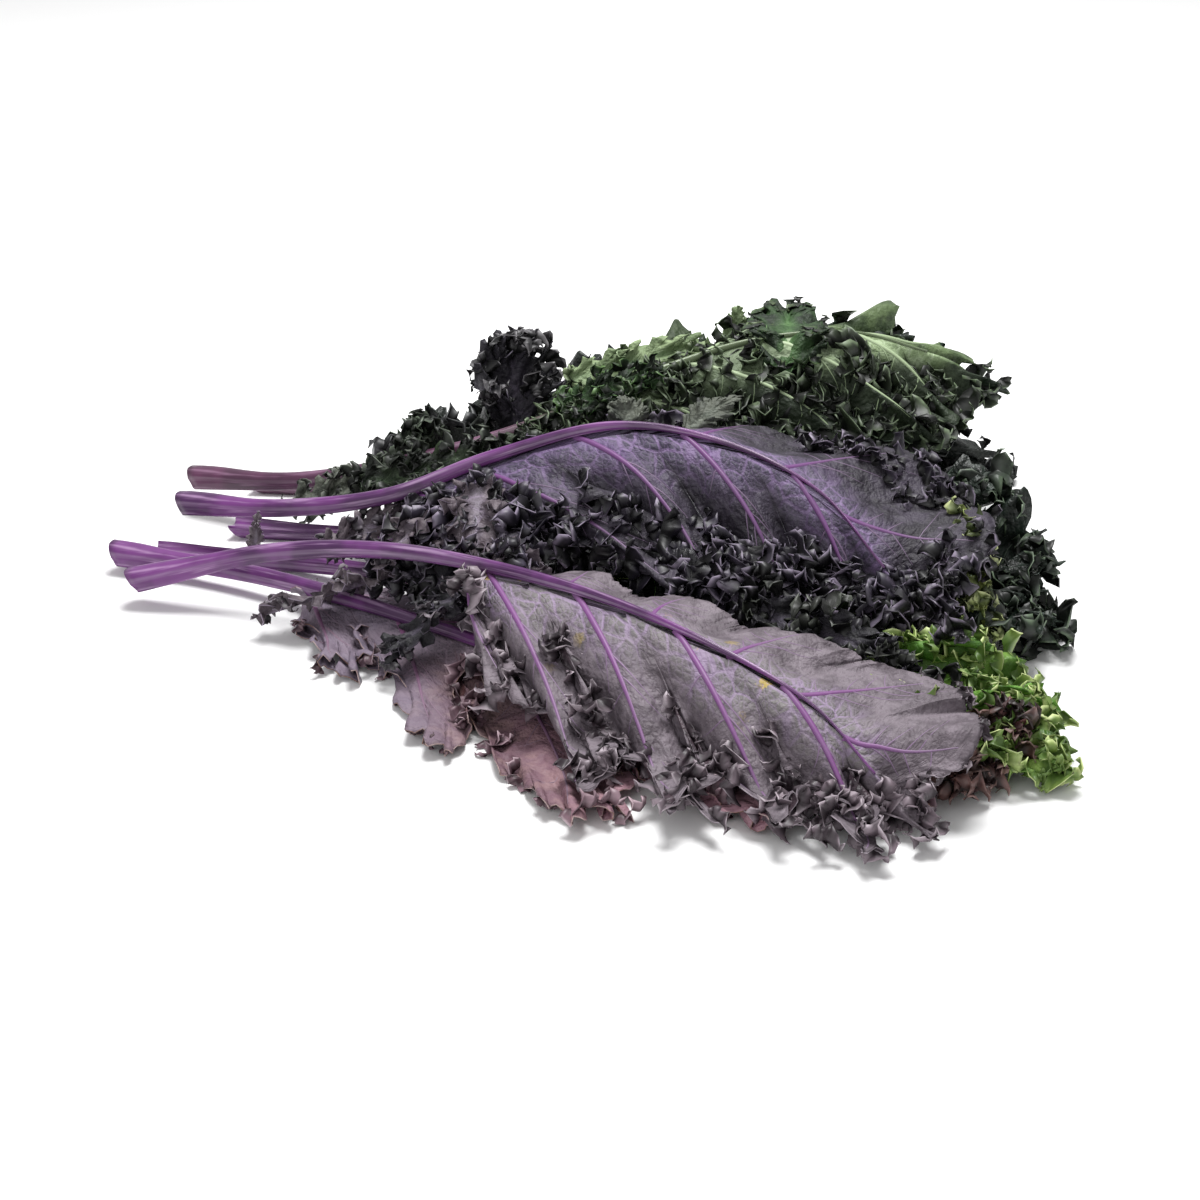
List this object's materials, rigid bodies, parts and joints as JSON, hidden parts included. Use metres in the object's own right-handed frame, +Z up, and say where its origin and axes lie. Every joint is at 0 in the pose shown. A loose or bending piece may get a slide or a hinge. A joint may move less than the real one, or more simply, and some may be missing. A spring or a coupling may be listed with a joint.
{
  "type": "purple kale bunch",
  "caption": "Bunch of purple curly kale lying down: violet cut stems together at one end, frilled grey-purple, pale green and dark leaves fanned out one over another.",
  "frame": {"origin": "on the table under the middle of the bunch's box", "axes": "+Z up from the table; +X from the cut stems towards the leaf tips; -Y is the side the picture was taken from"},
  "size_m": [0.4657, 0.4459, 0.0991],
  "materials": {
    "violet_stem": "smooth fleshy stem, half gloss",
    "mauve_stem": "smooth fleshy stem, half gloss",
    "plum_blade": "dull waxy leaf underside, veined",
    "rose_blade": "dull waxy leaf underside, veined",
    "pale_blade": "dull waxy leaf underside, veined",
    "dark_blade": "crinkled leaf upper side, half gloss",
    "green_blade": "crinkled leaf upper side, half gloss"
  },
  "bodies": {
    "root": {"front_leaf_stem": "violet_stem", "front_leaf_blade": "plum_blade", "under_leaf_stem": "violet_stem", "under_leaf_blade": "rose_blade", "green_leaf_stem": "violet_stem", "green_leaf_blade": "green_blade", "top_leaf_stem": "violet_stem", "top_leaf_blade": "plum_blade", "pale_leaf_stem": "mauve_stem", "pale_leaf_blade": "pale_blade", "dark_leaf_stem": "violet_stem", "dark_leaf_blade": "dark_blade", "back_leaf_stem": "mauve_stem", "back_leaf_blade": "dark_blade"}
  },
  "joints": []
}
